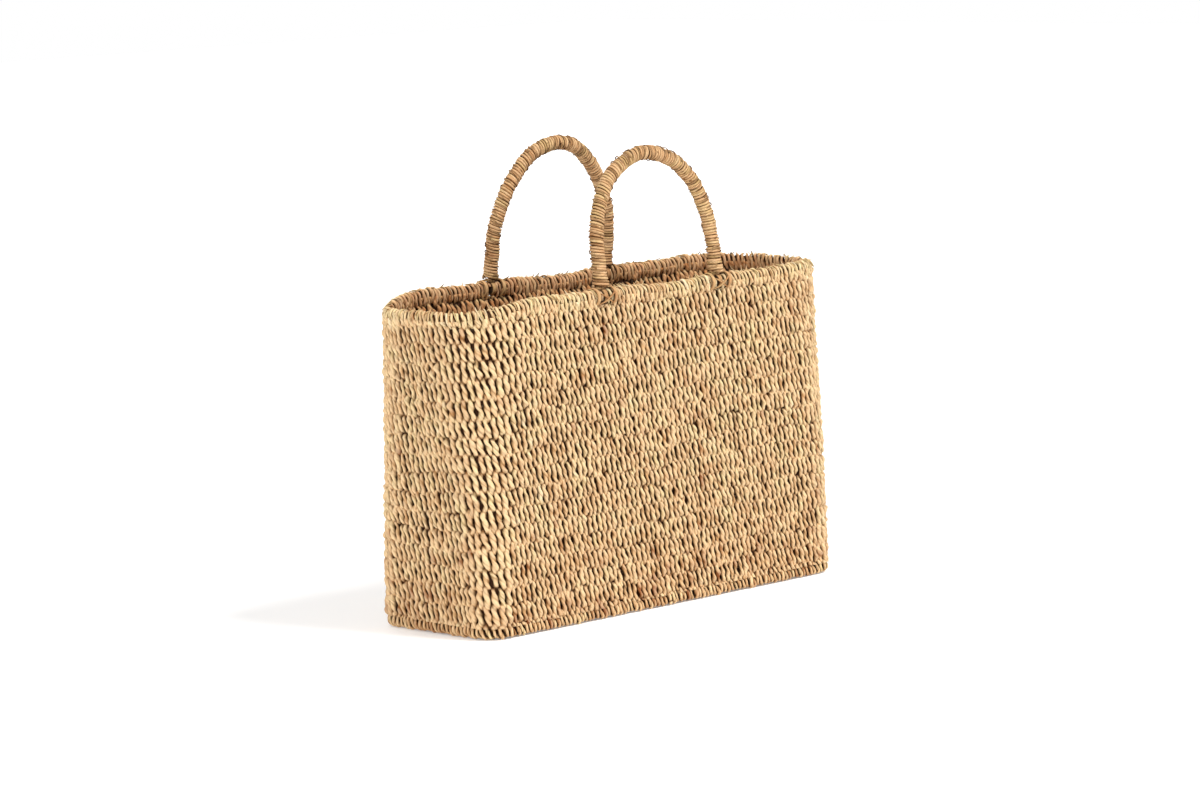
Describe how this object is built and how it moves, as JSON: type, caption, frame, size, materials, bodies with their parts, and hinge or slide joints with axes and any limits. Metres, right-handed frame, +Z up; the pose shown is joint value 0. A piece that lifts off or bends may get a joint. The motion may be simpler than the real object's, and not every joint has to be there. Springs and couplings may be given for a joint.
{
  "type": "seagrass storage basket",
  "caption": "Rectangular open-top seagrass tote basket woven over a hidden wire frame, with two upright arch handles hinged on the rim.",
  "frame": {"origin": "centre of the basket's footprint on the floor", "axes": "+Z up; X along the basket's length; the front long side faces -Y"},
  "size_m": [0.468, 0.159, 0.4145],
  "materials": {
    "seagrass_weave": "dry twisted seagrass, matt with a slight straw sheen",
    "seagrass_rim": "dry twisted seagrass, matt with a slight straw sheen",
    "seagrass_handle": "fine seagrass wrapping, slightly polished by hands",
    "seagrass_padding": "loose dry seagrass bundle",
    "seagrass_lashing": "tight brown seagrass lashing, matt",
    "frame_wire": "plain drawn steel wire, dull"
  },
  "bodies": {
    "basket": {"rim_wire": "frame_wire", "base_ring_wire": "frame_wire", "course_wire_01": "frame_wire", "course_wire_02": "frame_wire", "course_wire_03": "frame_wire", "course_wire_04": "frame_wire", "course_wire_05": "frame_wire", "course_wire_06": "frame_wire", "course_wire_07": "frame_wire", "course_wire_08": "frame_wire", "course_wire_09": "frame_wire", "course_wire_10": "frame_wire", "course_wire_11": "frame_wire", "course_wire_12": "frame_wire", "course_wire_13": "frame_wire", "course_wire_14": "frame_wire", "course_wire_15": "frame_wire", "course_wire_16": "frame_wire", "base_wire_1": "frame_wire", "base_wire_2": "frame_wire", "base_wire_3": "frame_wire", "base_wire_4": "frame_wire", "base_wire_5": "frame_wire", "base_wire_6": "frame_wire", "base_wire_7": "frame_wire", "base_wire_8": "frame_wire", "base_stiffener_left": "frame_wire", "base_stiffener_right": "frame_wire", "corner_post_front_left": "frame_wire", "corner_post_front_right": "frame_wire", "corner_post_back_left": "frame_wire", "corner_post_back_right": "frame_wire", "upright_front_left": "frame_wire", "upright_front_right": "frame_wire", "upright_back_left": "frame_wire", "upright_back_right": "frame_wire", "upright_left_end": "frame_wire", "upright_right_end": "frame_wire", "woven_front": "seagrass_weave", "woven_back": "seagrass_weave", "woven_left_end": "seagrass_weave", "woven_right_end": "seagrass_weave", "woven_base": "seagrass_weave", "rim_binding": "seagrass_rim", "foot_lashing_front_left": "seagrass_lashing", "foot_lashing_front_right": "seagrass_lashing", "foot_lashing_back_left": "seagrass_lashing", "foot_lashing_back_right": "seagrass_lashing"},
    "front_handle": {"front_handle_wire": "frame_wire", "front_handle_padding": "seagrass_padding", "front_handle_wrap": "seagrass_handle"},
    "back_handle": {"back_handle_wire": "frame_wire", "back_handle_padding": "seagrass_padding", "back_handle_wrap": "seagrass_handle"}
  },
  "joints": [
    {"name": "front_handle_hinge", "type": "hinge", "parent": "basket", "child": "front_handle", "pos_m": [0, -0.0705, 0.283], "axis": [-1, 0, 0], "range_deg": [-37, 23]},
    {"name": "back_handle_hinge", "type": "hinge", "parent": "basket", "child": "back_handle", "pos_m": [0, 0.0705, 0.283], "axis": [1, 0, 0], "range_deg": [-37, 23]}
  ]
}
